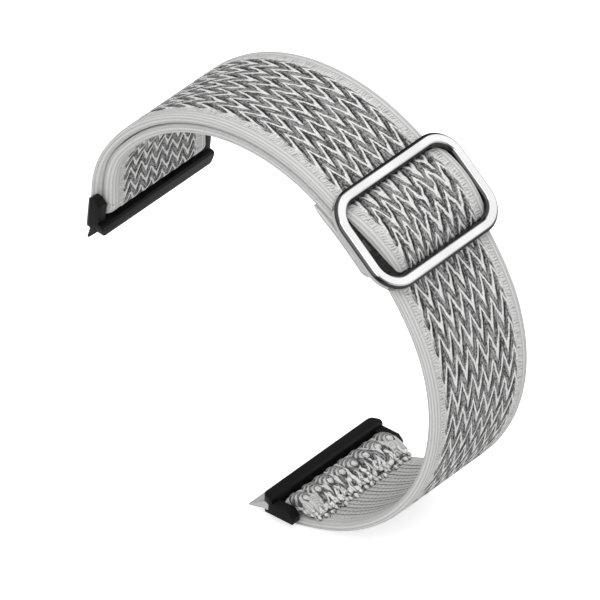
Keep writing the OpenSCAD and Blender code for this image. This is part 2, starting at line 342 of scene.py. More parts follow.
def weave_height(webbing, u, s):
    """Relief of the braided face: raised cords with a hollow beside them."""
    column = (u - COLUMN_AT) / webbing.column
    tri = 1 - 2 * np.abs(column - np.round(column))
    phase = relaxed(webbing, s) / webbing.row - RISE * (tri - 1)
    share = phase - np.floor(phase)
    near = np.minimum(share, 1 - share) * cord_pitch(webbing)
    cord = np.clip(1 - (near / (webbing.cord * 0.85)) ** 2, 0, 1)
    body = np.sin(math.pi * share) ** 2
    return 0.16 * cord + 0.05 * body - 0.1


def profile(webbing, thickness):
    """Closed section: place across, depth (0 face, 1 back) and material (0 braid, 1 back, 2 selvage)."""
    half = webbing.width / 2
    soft = thickness * EDGE_ROUND
    turn = np.linspace(90, -90, EDGE_POINTS + 2)[1:-1]
    section = []
    for way, count, depth, plain in ((1, FACE_COLUMNS, 0, webbing.selvage),
                                     (-1, FACE_COLUMNS // 3, 1, webbing.selvage * 0.6)):
        for y in np.linspace(way * (soft - half), way * (half - soft), count):
            section.append((y, depth, depth if abs(y) < half - plain else 2))
        for a in np.radians(way * turn):
            section.append((way * (half - soft + soft * math.cos(a) ** 0.55), 0.5 - 0.5 * math.sin(a), 2))
    section.append(section[0])
    return np.array(section).T


def webbing_piece(name, run, webbing, shape=None, relief=1.0, across_of=None, thickness=None,
                  materials=None):
    """Webbing along a run: a flat grid rolled into a closed section and laid along the points."""
    thickness = thickness or webbing.thickness
    points, normals, lengths = [np.array(part) for part in (run.points, run.normals, run.lengths)]
    across, depth, zone = profile(webbing, thickness)
    nx, ny = len(across) - 1, len(points) - 1
    clear_selection()
    bpy.ops.mesh.primitive_grid_add(x_subdivisions=nx, y_subdivisions=ny, size=2, calc_uvs=True)
    obj = bpy.context.active_object
    obj.name = obj.data.name = name
    mesh = obj.data
    flat = np.array([v.co for v in mesh.vertices])
    ix = np.rint((flat[:, 0] + 1) / 2 * nx).astype(int)
    iy = np.rint((flat[:, 1] + 1) / 2 * ny).astype(int)
    u, s, deep = across[ix], lengths[iy], depth[ix]
    fade = np.clip((webbing.width / 2 - webbing.selvage * 0.7 - np.abs(u)) / 0.5, 0, 1)
    lift = relief * (deep == 0) * fade * weave_height(webbing, u, s)
    lift += (deep == 1) * fade * 0.05 * np.cos(2 * math.pi * u / RIB)
    if shape is not None:
        lift += shape(u, s, deep)
    place = points[iy] + normals[iy] * (lift - deep * thickness)[:, None]
    across_at = u if across_of is None else across_of(u, s)
    coords = np.stack([place[:, 0], across_at, place[:, 1]], axis=1) * MM
    mesh.vertices.foreach_set("co", coords.ravel())
    corner_vertex = np.array([loop.vertex_index for loop in mesh.loops])
    uv = mesh.uv_layers.active
    uv.name = "weave"
    round_edge = np.sign(u) * thickness * EDGE_ROUND * math.pi * deep * (deep < 1)
    flat_uv = np.stack([u + round_edge, relaxed(webbing, s)], axis=1)[corner_vertex] * UV_PER_MM
    uv.data.foreach_set("uv", flat_uv.ravel())
    starts = np.array([face.loop_start for face in mesh.polygons])
    column_of = np.minimum.reduce([ix[corner_vertex[starts + k]] for k in range(4)])
    slots = np.maximum(zone[column_of], zone[column_of + 1])
    mesh.polygons.foreach_set("material_index", slots.astype(int))
    mesh.update()
    choose(obj)
    bpy.ops.object.mode_set(mode="EDIT")
    bpy.ops.mesh.select_all(action="SELECT")
    bpy.ops.mesh.remove_doubles(threshold=1e-7)
    bpy.ops.mesh.select_all(action="DESELECT")
    bpy.ops.mesh.select_non_manifold()
    bpy.ops.mesh.fill_holes(sides=0)
    bpy.ops.mesh.select_all(action="SELECT")
    bpy.ops.mesh.normals_make_consistent(inside=False)
    bpy.ops.object.mode_set(mode="OBJECT")
    bpy.ops.object.shade_smooth()
    give(obj, *(materials or webbing_finishes(webbing)))
    return obj


# Shader maths

def maths(operation, reflected=False):
    """A method that puts a value and other numbers through a Math node."""
    def method(self, *others):
        values = (*others, self) if reflected else (self, *others)
        node = self.nodes.add("ShaderNodeMath", {"operation": operation}, dict(enumerate(values)))
        return Value(self.nodes, node.outputs[0])
    return method


class Value:
    """A socket of one number, with the operators that its maths needs."""
    __add__, __radd__ = maths("ADD"), maths("ADD", True)
    __sub__, __rsub__ = maths("SUBTRACT"), maths("SUBTRACT", True)
    __mul__, __rmul__ = maths("MULTIPLY"), maths("MULTIPLY", True)
    __truediv__, __pow__ = maths("DIVIDE"), maths("POWER")
    abs, floor, round, sine = maths("ABSOLUTE"), maths("FLOOR"), maths("ROUND"), maths("SINE")
    least, most = maths("MINIMUM"), maths("MAXIMUM")

    def __init__(self, nodes, socket):
        self.nodes, self.socket = nodes, socket

    def off_whole(self):
        """How far it is from the nearest whole number."""
        return (self - self.round()).abs()

    def wave(self):
        """Sine, moved and halved to lie between 0 and 1."""
        return self.sine() * 0.5 + 0.5

    def step(self, low, high, to_low=0.0, to_high=1.0):
        """Smooth step from to_low at low to to_high at high."""
        node = self.nodes.add("ShaderNodeMapRange", {"interpolation_type": "SMOOTHSTEP"},
                              dict(enumerate((self, low, high, to_low, to_high))))
        return Value(self.nodes, node.outputs[0])


class Nodes:
    """A node tree that nodes are added to."""

    def __init__(self, tree):
        self.tree = tree

    def feed(self, socket, value):
        """Link an input, or set its number or colour."""
        if isinstance(value, Value):
            value = value.socket
        if isinstance(value, bpy.types.NodeSocket):
            self.tree.links.new(value, socket)
        elif socket.type == "RGBA":
            socket.default_value = (*value, 1.0)
        else:
            socket.default_value = value

    def add(self, kind, options=None, inputs=None):
        """A node of a type, with its settings and inputs."""
        node = self.tree.nodes.new(kind)
        for key, value in (options or {}).items():
            setattr(node, key, value)
        for key, value in (inputs or {}).items():
            self.feed(node.inputs[key], value)
        return node


class Finish(Nodes):
    """A material being made, with one Principled shader."""

    def __init__(self, name):
        self.material = bpy.data.materials.new(name)
        self.material.use_nodes = True
        super().__init__(self.material.node_tree)
        self.shader = next(n for n in self.tree.nodes if n.type == "BSDF_PRINCIPLED")

    def numbers(self, socket, scale, count):
        """The first numbers of a vector, each times the scale."""
        split = self.add("ShaderNodeSeparateXYZ", inputs={0: socket})
        return [Value(self, split.outputs[i]) * scale for i in range(count)]

    def weave_place(self):
        """Across and along the webbing in millimetres, from the piece's own map."""
        return self.numbers(self.add("ShaderNodeUVMap", {"uv_map": "weave"}).outputs[0], 1 / UV_PER_MM, 2)

    def place(self):
        """X, Y and Z on the object in millimetres."""
        return self.numbers(self.add("ShaderNodeTexCoord").outputs["Object"], 1 / MM, 3)

    def noise(self, place, detail=2.0, roughness=0.5, scale=1.0):
        """Noise at a place given as two or three numbers."""
        place = self.add("ShaderNodeCombineXYZ", inputs=dict(enumerate(place))).outputs[0]
        node = self.add("ShaderNodeTexNoise", {"noise_dimensions": "3D"},
                        {"Vector": place, "Scale": scale, "Detail": detail, "Roughness": roughness})
        return Value(self, node.outputs[0])

    def mix(self, amount, a, b):
        """Colour a where amount is 0 and b where it is 1."""
        return self.add("ShaderNodeMix", {"data_type": "RGBA"}, {0: amount, 6: a, 7: b}).outputs[2]

    def set(self, name, value):
        self.feed(self.shader.inputs[name], value)

    def done(self, colour, roughness, height=None, strength=1.0, distance=0.0):
        """The material, with its colour, roughness and bump set."""
        self.set("Base Color", colour)
        self.set("Roughness", roughness)
        if height is not None:
            bump = self.add("ShaderNodeBump", inputs={
                "Strength": strength, "Distance": distance, "Height": height})
            self.set("Normal", bump.outputs[0])
        return self.material


def shaded(colour, share):
    """A colour times a number."""
    return [c * share for c in colour]


def turned(x, z, middle, turn):
    """Places along and square to a direction from a middle, in the plane of the ring."""
    x, z = x - middle[0], z - middle[1]
    return x * math.cos(turn) + z * math.sin(turn), z * math.cos(turn) - x * math.sin(turn)


def finish_once(name, maker, *values):
    """The material of that name, made the first time it is asked for."""
    return bpy.data.materials.get(name) or maker(name, *values)


# Finishes of the webbing and the thread

def braid_finish(name, webbing, crush=1.0):
    """Braided face: light zigzag cords over a melange ground, with painted shade just inside each point, just
    below each peak and beside each cord.
    """
    finish = Finish(name)
    u, s = finish.weave_place()
    across = u + (finish.noise((u * 0.9, s * 0.7), 1.0) - 0.5) * (0.35 * crush)
    along = s + (finish.noise((u * 0.6, s * 0.5, 9.0), 1.0) - 0.5) * (0.9 * crush)
    frayed = finish.noise((u * 5.0, s * 5.0, 2.0), 2.0, 0.6) - 0.5

    # Place in the column (1 in its middle) and share of the way from one cord to the next
    tri = 1 - 2 * ((across - COLUMN_AT) / webbing.column).off_whole()
    phase = along / webbing.row - RISE * (tri - 1)
    share = phase - phase.floor()
    near = share.least(1 - share) * cord_pitch(webbing) + frayed * 0.28
    wide = tri.step(0.0, 0.35, 1.6, 1.0) * tri.step(0.6, 1.0, 1.0, 0.8)
    wide = wide * (webbing.cord * 0.5 * (0.9 + 0.1 * crush))
    cord = (near / wide).step(0.7, 1.15, 1.0, 0.0)
    # rim is painted shadow: a thin dark line beside each cord
    rim = (near / wide).step(1.0, 1.9, 1.0, 0.0)

    # Ground between the cords, with painted shade in its hollows
    streak = finish.noise((phase * 4.6, u * 1.3, s * 0.25), 2.0, 0.6)
    fleck = finish.noise((u * 3.4, s * 2.2, 4.0), 2.0, 0.7)
    tone = streak * 0.55 + fleck * 0.55
    # Painted shade: inside darkens each point just inside its vertex, and below darkens the ground just below
    # each peak
    inside = share.step(0.1, 0.5, 1.0, 0.0) * tri.step(0.1, 0.55, 1.0, 0.0)
    shifted = 1 - 2 * ((across + 0.45 - COLUMN_AT) / webbing.column).off_whole()
    below = share.step(0.2, 0.65) * shifted.step(0.35, 0.8)
    shade = (inside * 0.6 + below + rim * 0.35).least(1.0)
    ground = finish.mix(tone.step(0.48, 0.6), shaded(webbing.ground, 0.8), shaded(webbing.ground, 5.6))
    # Where the painted shade falls, the ground turns to the dark colour
    ground = finish.mix(shade * tone.step(0.5, 0.7, 1.0, 0.45), ground, webbing.dark)
    strand = finish.noise((near * 6.0, s * 2.4), 2.0)
    bright = finish.mix(strand.step(0.3, 0.7), shaded(webbing.light, 0.74), webbing.light)

    # Fuzz where the braid meets the selvage, broken by dark holes
    plain = webbing.width / 2 - webbing.selvage
    border = (u.abs() + frayed * 0.5).step(plain - 0.55, plain - 0.15)
    hole = share.step(0.1, 0.2) * share.step(0.42, 0.6, 1.0, 0.0)
    hole = hole * (u.abs() + frayed * 0.4).step(plain + 0.05, plain + 0.45, 1.0, 0.0)
    fuzzy = finish.mix(fleck.step(0.35, 0.65), shaded(webbing.edge, 0.55), webbing.light)
    woven = finish.mix(border * (1 - hole), finish.mix(cord, ground, bright), fuzzy)
    height = cord * 0.9 + tone * 0.7 - shade * 0.4 - border * hole * 0.6
    return finish.done(woven, 0.9, height, 0.7, 0.00025)


def rib_finish(name):
    """Back of the webbing: ribs along it, each a chain of small loops, with painted shade in the grooves
    between the ribs and between the loops.
    """
    finish = Finish(name)
    u, s = finish.weave_place()
    rib = u / RIB
    side = rib.off_whole()
    gap = (s / RIB_LINK + rib.round() * 0.5).off_whole()
    fleck = finish.noise((u * 5.0, s * 3.0), 3.0, 0.6)
    # shade is painted shade in the grooves: there the lit yarn turns to dark grey
    shade = (side.step(0.32, 0.48) + gap.step(0.34, 0.5) * 0.5).least(1.0)
    lit = finish.mix(fleck.step(0.35, 0.65), [0.44, 0.44, 0.435], [0.7, 0.7, 0.69])
    height = (1 - side * 2) * 0.7 + (0.5 - gap) * 0.6 + fleck * 0.3
    return finish.done(finish.mix(shade, lit, [0.13, 0.13, 0.13]), 0.88, height, 0.7, 0.0003)


def selvage_finish(name, webbing):
    """Plain edge: close threads along it, with a ladder of fine cross ticks beside the braid."""
    finish = Finish(name)
    u, s = finish.weave_place()
    side = u.abs()
    half = webbing.width / 2
    plain = half - webbing.selvage
    jitter = finish.noise((u * 0.8, s * 1.3), 1.0)
    ladder = ((s + jitter * 0.9) * 13.0 + u * 2.5).wave()
    band = side.step(half - 1.55, half - 1.25, 1.0, 0.0) * side.step(plain - 0.1, plain + 0.25)
    lines = ((side + jitter * 0.1) * 9.5).wave()
    fuzz = finish.noise((u * 4.0, s * 4.0), 2.0, 0.6)
    broken = finish.noise((u * 1.1, s * 0.9, 7.0), 2.0).step(0.35, 0.6, 0.35, 1.0)
    ticks = band * broken * ladder.step(0.45, 0.9) * 0.62
    shade = (ticks + lines * (1 - band) * 0.35 + fuzz * 0.3).least(1.0)
    height = ladder * band * 0.5 + lines * 0.4 + fuzz * 0.4
    return finish.done(finish.mix(shade, webbing.edge, shaded(webbing.edge, 0.26)), 0.9, height, 0.6, 0.0002)


def shade_lining_finish(name):
    """Layer under the hump, coloured near black as painted shade from the slider."""
    finish = Finish(name)
    x, y, z = finish.place()
    fuzz = finish.noise((x * 2.5, y * 1.2, z * 2.5), 3.0, 0.6)
    colour = finish.mix(fuzz.step(0.4, 0.62), [0.004, 0.004, 0.004], [0.02, 0.02, 0.02])
    return finish.done(colour, 0.95, fuzz, 0.6, 0.0002)


def knuckle_finish(name, middle, slope):
    """Gathered folds: nested arcs of light cord on each, dark between the arcs, with painted shade on each
    fold's lower side.
    """
    finish = Finish(name)
    x, y, z = finish.place()
    along, up = turned(x, z, middle, slope)
    across = ((y - knuckle_at(0)) / KNUCKLE_PITCH).off_whole() * KNUCKLE_PITCH
    fuzz = finish.noise([c * 2.2 for c in (x, y, z)], 3.0, 0.6)
    ring = ((along - KNUCKLE_NOSE) ** 2 + across ** 2) ** 0.5 + (fuzz - 0.5) * 0.35
    arcs = (ring * (2 * math.pi / KNUCKLE_ARC)).wave().most(ring.step(0.4, 0.65, 0.8, 0.0))
    # low is painted shade, darkest on each fold's lower side
    low = up.step(0.25, 0.75, 1.0, 0.0)
    shade = (arcs.step(0.3, 0.75, 1.0, 0.0) * 0.75 + low * 0.7 + fuzz.step(0.5, 0.62) * 0.25).least(1.0)
    colour = finish.mix(shade, [0.72, 0.72, 0.71], [0.07, 0.07, 0.07])
    return finish.done(colour, 0.9, arcs + fuzz * 0.6, 0.7, 0.00025)


def thread_finish(name):
    """Sewing thread: pale, twisted and a little fuzzy."""
    finish = Finish(name)
    x, y, z = finish.place()
    twist = ((x + y * 1.3 + z) * 11.0).wave()
    fleck = finish.noise([c * 4.0 for c in (x, y, z)])
    shade = (twist * 0.45 + fleck * 0.4).least(1.0)
    return finish.done(finish.mix(shade, [0.8, 0.8, 0.79], [0.3, 0.3, 0.3]), 0.8, twist, 0.5, 0.0001)


def overlock_finish(name, foot, slope):
    """Overlocked thread: pale twisted loops, with painted shade in their holes and low down between them."""
    finish = Finish(name)
    x, y, z = finish.place()
    up = turned(x, z, foot, slope)[1]
    fuzz = finish.noise([c * 1.7 for c in (x, y, z)], 3.0, 0.6)
    twist = ((x * 0.7 + y * 1.2 + z * 1.6 + fuzz * 0.7) * 4.6).wave()
    # Painted shade: low darkens the lower lumps, and the dark fuzz specks below darken the loops' holes
    low = (up + fuzz * 0.5).step(1.7, 2.5, 0.9, 0.0)
    shade = (twist.step(0.6, 0.95) * 0.6 + low + fuzz.step(0.54, 0.62) * 0.6).least(1.0)
    colour = finish.mix(shade, [0.82, 0.82, 0.81], [0.05, 0.05, 0.05])
    return finish.done(colour, 0.9, fuzz - twist * 0.4, 0.7, 0.00025)


def webbing_finishes(webbing):
    """Materials in the order of a section's numbers."""
    return (finish_once("braided_yarn", braid_finish, webbing), finish_once("ribbed_back", rib_finish),
            finish_once("selvage_yarn", selvage_finish, webbing))


# Finishes of the metal

# Colour and roughness of the pieces of plain steel; the near-black one is steel painted as if in shade
STEELS = {"satin_steel": ([0.62, 0.62, 0.63], 0.28), "dull_steel": ([0.03, 0.03, 0.032], 0.35)}
RING_CORNER = 5.0  # radius of the ring's outer corners in millimetres
RING_WINDOW = (12.3, 7.1)  # half the ring's window, across the strap and along it


def steel_finish(name):
    """Satin steel with faint hairlines."""
    finish = Finish(name)
    colour, roughness = STEELS[name]
    x, y, z = finish.place()
    hair = finish.noise((x * 1.5, y * 0.6, z * 22.0))
    finish.set("Metallic", 1.0)
    return finish.done(finish.mix(hair.step(0.3, 0.7), shaded(colour, 0.94), colour), hair * 0.2 + roughness)


def ring_finish(name, steel, top, middle, turn, half):
    """Polished steel slider with painted reflection and shade: a bright face, darker toward its edges and along
    its outer edge, and a near-black rim that stands for the dark webbing mirrored below it.
    """
    finish = Finish(name)
    x, y, z = finish.place()
    out, aside = turned(x, z, middle, turn)
    depth = top - out
    hair = finish.noise((x * 1.5, y * 0.6, z * 22.0))
    cloud = finish.noise([c * 0.16 for c in (x, y, z)], 1.0)
    face = finish.mix(cloud.step(0.35, 0.65) * 0.6 + hair * 0.4, shaded(steel, 0.86), steel)
    sides = y.abs(), aside.abs()
    inner = [a.step(w - 0.1, w + 0.1, 1.0, 0.0) for a, w in zip(sides, RING_WINDOW)]
    past = [(a - (h - RING_CORNER)).most(0.0) for a, h in zip(sides, half)]
    to_edge = (past[0] ** 2 + past[1] ** 2) ** 0.5 - RING_CORNER
    # Painted shade: the face is brightest along its middle and darker toward both edges, for a rounded look
    face = finish.mix((to_edge + 1.0).abs().step(0.25, 0.95) * 0.5, face, [0.4, 0.4, 0.4])
    # Painted shade: a dark band along the outer edge, toward the far side
    face = finish.mix(to_edge.step(-0.52, -0.34) * y.step(-8.0, 4.0) * 0.8, face, [0.06, 0.06, 0.06])
    # rim is a painted reflection: the sides just below the face, and the window walls all the way down, turn
    # near black
    rim = depth.step(0.03, 0.2) * (inner[0] * inner[1]).most(depth.step(0.55, 0.8, 1.0, 0.12))
    finish.set("Metallic", 1.0)
    return finish.done(finish.mix(rim * 0.94, face, [0.015, 0.015, 0.015]), hair * 0.08 + 0.12)


def black_finish(name, black):
    """Gloss black coat with a slight orange peel and rubbed spots."""
    finish = Finish(name)
    x, y, z = finish.place()
    peel = finish.noise((x, y, z), scale=2.2)
    rub = finish.noise((x * 0.4, y * 0.25, z * 0.4), 4.0, 0.7)
    finish.set("Specular IOR Level", 0.16)
    colour = finish.mix(rub.step(0.45, 0.8), black, shaded(black, 1.9))
    return finish.done(colour, rub * 0.2 + 0.3, peel, 0.08, 0.0002)


def soften(node, width, material, body, drop=None):
    """A bevelled copy of a CAD node. drop is a side view and the height below which it is cut away."""
    obj = frame["nodes"][node].copy()
    obj.data = obj.data.copy()
    obj.name = obj.data.name = "soft_" + node
    obj.parent = None
    bpy.context.scene.collection.objects.link(obj)
    for key in [k for k in obj.keys() if k.startswith("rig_")]:
        del obj[key]
    choose(obj)
    bpy.ops.object.mode_set(mode="EDIT")
    bpy.ops.mesh.select_all(action="SELECT")
    bpy.ops.mesh.remove_doubles(threshold=2e-6)
    if drop:
        side, level = drop
        out = toward(side.slider_at)
        bpy.ops.mesh.bisect(plane_co=spot(side.slide + level * out, 0), plane_no=(out[0], 0, out[1]),
                            use_fill=True, clear_inner=True)
        bpy.ops.mesh.select_all(action="SELECT")
    bpy.ops.mesh.dissolve_limited(angle_limit=math.radians(2))
    bpy.ops.object.mode_set(mode="OBJECT")
    bevel_edges(obj, width)
    give(obj, material)
    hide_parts(node)
    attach(obj, body)


# Operators

class STRAP_OT_webbing(bpy.types.Operator):
    """Lay the webbing that stays put: lower fold, outer run, upper fold and return run"""
    bl_idname = "strap.webbing"
    bl_label = "Webbing"

    def execute(self, context):
        webbing = settings()[0]
        side = SideView(webbing)
        outer = side.outer()
        fold = side.upper_fold(outer.end)
        inner = side.inner(fold.end)

        def full_back(u, s, depth):
            """The back swells beside the upper fold, until the two runs nearly touch."""
            away = np.minimum(np.abs(s - outer.end), np.abs(s - fold.end))
            share = np.clip(1 - away / OPEN_LENGTH, 0, 1)
            return -depth * (0.07 + (side.fold_in - 0.16) * eased(share))

        pieces = [
            ("webbing_outer", outer, ("outer_run", "outer_edge_near", "outer_edge_far"), 1.0, full_back),
            ("webbing_upper_fold", fold, ("fold_upper",), 0.6, None),
            ("webbing_return", inner, ("return_run", "return_edge_near", "return_edge_far"), 1.0, full_back),
            ("webbing_lower_fold", side.lower_fold(), ("fold_lower",), 0.6, None)]
        for name, run, nodes, relief, shape in pieces:
            obj = webbing_piece(name, run, webbing, shape=shape, relief=relief)
            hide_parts(*nodes)
            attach(obj, "strap")
        return {"FINISHED"}


# Gathered folds beside the lower connector, in millimetres
KNUCKLES = 8
KNUCKLE_PITCH = 2.75
KNUCKLE_SIZE = (2.0, 1.4, 1.0)
KNUCKLE_ARC = 0.72  # distance from one arc of cord to the next
KNUCKLE_NOSE = 1.3  # how far past a fold's middle its arcs have their centre


def knuckle_at(k):
    """Place of a fold across the strap."""
    return (k - (KNUCKLES - 1) / 2) * KNUCKLE_PITCH


class STRAP_OT_tab(bpy.types.Operator):
    """Lay the sewn tab beside the lower connector, with its gathers and thread"""
    bl_idname = "strap.tab"
    bl_label = "Sewn Tab"

    def execute(self, context):
        webbing = settings()[0]
        side = SideView(webbing)
        length = webbing.tab
        top = 2 * side.fold_out
        along, up = toward(side.slope), toward(side.slope + 90)

        def at(x, z):
            """Place x along the tab from the pin and z over the fold's underside."""
            return side.pin_lower + x * along + (z - side.fold_out) * up

        run = Run(-math.pi * side.fold_out - length - 0.4)
        bend = at(length * 0.5, top - 0.1)
        facing = [toward(side.slope + lean) for lean in (55, 80, 90)]
        run.line(at(length, 2.1 * side.t), bend, facing[0], facing[1])
        run.line(bend, at(0, top), facing[1], facing[2])

        def bulge(u, s, depth):
            """Swollen gathers on the face, and a thin nose at the cut end."""
            lump = np.abs(np.cos(math.pi * u / 3.05)) ** 0.7
            share = np.clip((s - run.lengths[0]) / length, 0, 1)
            nose = np.clip(1 - share / 0.3, 0, 1) ** 1.5
            thin = (depth > 0) * 0.25 - (1 - depth) * nose * (webbing.thickness - 0.35)
            swell = 0.4 * (lump - 0.6) * np.sin(math.pi * np.clip(share * 0.8 + 0.2, 0, 1))
            return (depth == 0) * swell + thin

        obj = webbing_piece("webbing_tab", run, webbing, shape=bulge)
        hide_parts("tab_lower")
        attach(obj, "strap")
        self.knuckles(side, at(0.75, top - 0.55))
        self.overlock(side, at)
        return {"FINISHED"}

    def knuckles(self, side, middle):
        """The webbing's gathered folds between the connector and the seam."""
        turn = math.radians(side.slope)
        along = toward(side.slope)
        obj = joined("webbing_knuckles", [
            ball(middle, knuckle_at(k), KNUCKLE_SIZE, (0, -turn, 0), 48, 28) for k in range(KNUCKLES)])
        co = np.array([v.co for v in obj.data.vertices]) / MM
        nose = (co[:, [0, 2]] - middle) @ along - KNUCKLE_NOSE
        cell = (co[:, 1] - knuckle_at(0)) / KNUCKLE_PITCH
        across = (cell - np.round(cell)) * KNUCKLE_PITCH
        lift = 0.1 * np.cos(2 * math.pi * np.hypot(nose, across) / KNUCKLE_ARC)
        co[:, 0] -= lift * along[1]
        co[:, 2] += lift * along[0]
        obj.data.vertices.foreach_set("co", (co * MM).ravel())
        obj.data.update()
        give(obj, finish_once("knuckle_yarn", knuckle_finish, middle, turn))
        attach(obj, "strap")

    def overlock(self, side, at):
        """Overlocked thread over the tab's cut end, with a low row of stitches past it."""
        slope = math.radians(side.slope)
        fall = math.radians(42.0 - side.slope)
        parts = []

        def lump(x, z, y, size, turn):
            parts.append(ball(at(x, z), y, size, (0.2 * turn, -slope, turn)))

        for k in range(KNUCKLES):
            bpy.ops.mesh.primitive_torus_add(
                major_segments=36, minor_segments=14, major_radius=0.74 * MM, minor_radius=0.36 * MM,
                location=spot(at(3.75 + 0.14 * math.sin(5 * k), 3.0), knuckle_at(k) + 0.3 * math.sin(3 * k)),
                rotation=(0.3 * math.sin(7 * k), fall, 0.6 * math.sin(4 * k)))
            parts.append(bpy.context.active_object)
            parts[-1].scale = (1.15 + 0.2 * math.sin(2.3 * k), 1.0, 0.9)
            if k:
                y = knuckle_at(k) - KNUCKLE_PITCH / 2
                lump(4.1 + 0.2 * math.sin(4.3 * k), 2.45, y, (0.95, 0.55, 0.6), 0.8 * math.cos(3.1 * k))
                lump(2.75, 3.5, y, (0.5, 0.36, 0.4), 0.5 * math.sin(2.1 * k))
        for k in range(4):
            for y in (-10.3, 10.3):
                size = (0.75, 0.4, 0.5 - 0.05 * k)
                lump(0.9 + 1.15 * k, 3.05 - 0.35 * k, y, size, 0.35 * math.sin(2.9 * k + y))
        for k in range(15):
            size = (0.7 + 0.15 * math.sin(5.1 * k), 0.5, 0.5)
            lump(4.95 + 0.3 * math.sin(2.7 * k), 1.75, -9.1 + 1.3 * k, size, 0.9 * math.sin(3.7 * k))
        obj = joined("thread_overlock", parts)
        give(obj, finish_once("overlock_thread", overlock_finish, at(0, 0), slope))
        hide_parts("seam_lower_a", "seam_lower_b")
        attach(obj, "strap")


class STRAP_OT_slider_webbing(bpy.types.Operator):
    """Lay the webbing at the slider: hump, loop round the bar and bridge to the return run"""
    bl_idname = "strap.slider_webbing"
    bl_label = "Webbing at the Slider"

    # Sizes in millimetres
    HUMP_HALF = 6.35  # half its length on the strap's face
    HUMP_LIFT = 0.9  # height of its path over that face
    HUMP_ARCH = 1.7  # height of its crest over its foot
    HUMP_SINK = 0.7  # depth of its foot below its path
    LINING_LIFT = 0.25  # height of the lining's path over the strap's face
    LOOP_THINNER = 0.4  # what the stretched loop lacks in thickness
    LOOP_REACH = 2.6  # how far it goes past the middle bar on each side
    LOOP_CLEARANCE = 0.05  # space between its layers and the bar
    BAR_DEPTH = 1.0  # of the bar between the loop's layers
    TAIL_LENGTH = 9.0  # from the middle bar to the tail's cut end
    TAIL_GAP = 0.28  # space between the raised tail and the return run

    def execute(self, context):
        webbing = settings()[0]
        side = SideView(webbing)
        self.hump(webbing, side)
        self.loop(webbing, side)
        self.bridge(webbing, side)
        return {"FINISHED"}

    def hump(self, webbing, side):
        """Arch over the middle bar, in line with the outer run's weave, and a lining under it, coloured near
        black as painted shade.
        """
        radius = side.radii[SLIDER_ARC]
        half = math.degrees(self.HUMP_HALF / radius)
        ends = side.slider_at - half, side.slider_at + half
        at = side.outer().end - sum(side.lengths[SLIDER_ARC:])
        at += math.radians(ends[0] - side.starts[SLIDER_ARC]) * radius
        run = Run(at)
        run.arc(side.slide, radius + self.HUMP_LIFT, *ends)
        reach = 2 * math.radians(half) * (radius + self.HUMP_LIFT)
        middle = at + reach / 2

        def arch(u, s, depth):
            share = np.cos(math.pi * np.clip((s - middle) / reach, -0.5, 0.5))
            edge = np.abs(u) / (webbing.width / 2)
            fall = edge ** 6 * np.where(u < 0, 0.8, 0.35) * (0.3 + share)
            return share ** 0.8 * self.HUMP_ARCH - self.HUMP_SINK - fall

        def gathered_across(u, s):
            """The near edge draws in toward the ring's lower side."""
            low = np.clip((middle + reach / 2 - s) / reach, 0, 1)
            return u * np.where(u < 0, 1 - 0.19 * low ** 1.5, 1.085)

        gathered = finish_once("gathered_yarn", braid_finish, webbing, 2.0)
        obj = webbing_piece("webbing_hump", run, webbing, shape=arch, across_of=gathered_across,
                            materials=(gathered, *webbing_finishes(webbing)[1:]))
        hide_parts("hump")
        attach(obj, "slider")
        # The lining stands for the layer under the hump, coloured near black as painted shade
        under = Run(at)
        under.arc(side.slide, radius + self.LINING_LIFT, *ends)
        obj = webbing_piece("webbing_shade_lining", under, webbing, relief=0.0, across_of=lambda u, s: u * 1.09,
                            shape=lambda u, s, depth: depth * (webbing.thickness - 0.2),
                            materials=[finish_once("lining_yarn", shade_lining_finish)] * 3)
        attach(obj, "slider")

    def loop(self, webbing, side):
        """Stretched webbing round the middle bar, whose sewn tail rises toward the return run."""
        thin = webbing.thickness - self.LOOP_THINNER
        outer = side.radii[SLIDER_ARC] - webbing.thickness - 0.2
        bar_out = outer - thin - self.LOOP_CLEARANCE
        tail = bar_out - self.BAR_DEPTH - self.LOOP_CLEARANCE - thin
        foot = side.slider_at - math.degrees(self.LOOP_REACH / bar_out)
        lead = side.slider_at + math.degrees(self.LOOP_REACH / outer)
        tail_end = side.slider_at + math.degrees(self.TAIL_LENGTH / tail)
        rise = side.radii[SLIDER_ARC] - 2 * webbing.thickness - side.gap - self.TAIL_GAP - thin - tail

        def tail_radius(angles):
            return tail + rise * eased(np.clip((angles - foot - 3) / (tail_end - foot - 4), 0, 1))

        def wedge(u, s, depth):
            """Thin cut end of the tail."""
            return (depth - 1) * (thin - 0.15) * np.clip(1 - s / 2.5, 0, 1) ** 2

        run = Run()
        run.arc(side.slide, tail_radius, tail_end, foot, -1)
        run.arc(side.slide + (outer + tail) / 2 * toward(foot), (outer - tail) / 2, foot + 180, foot + 360)
        run.arc(side.slide, outer, foot, lead)
        obj = webbing_piece("webbing_loop", run, webbing, shape=wedge, relief=0.5, thickness=thin)
        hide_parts("loop")
        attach(obj, "slider")

    def bridge(self, webbing, side):
        """Return run's last stretch, up to just past the slider, laid where the slider stands."""
        radius = side.radii[SLIDER_ARC] - 2 * webbing.thickness - side.gap
        first = side.starts[SLIDER_ARC + 1] - 1.4
        last = side.slider_at + math.degrees(2.2 / radius)
        run = Run(300.0)
        run.arc(side.slide, radius, first, last, -1)
        obj = webbing_piece("webbing_bridge", run, webbing)
        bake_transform(obj)


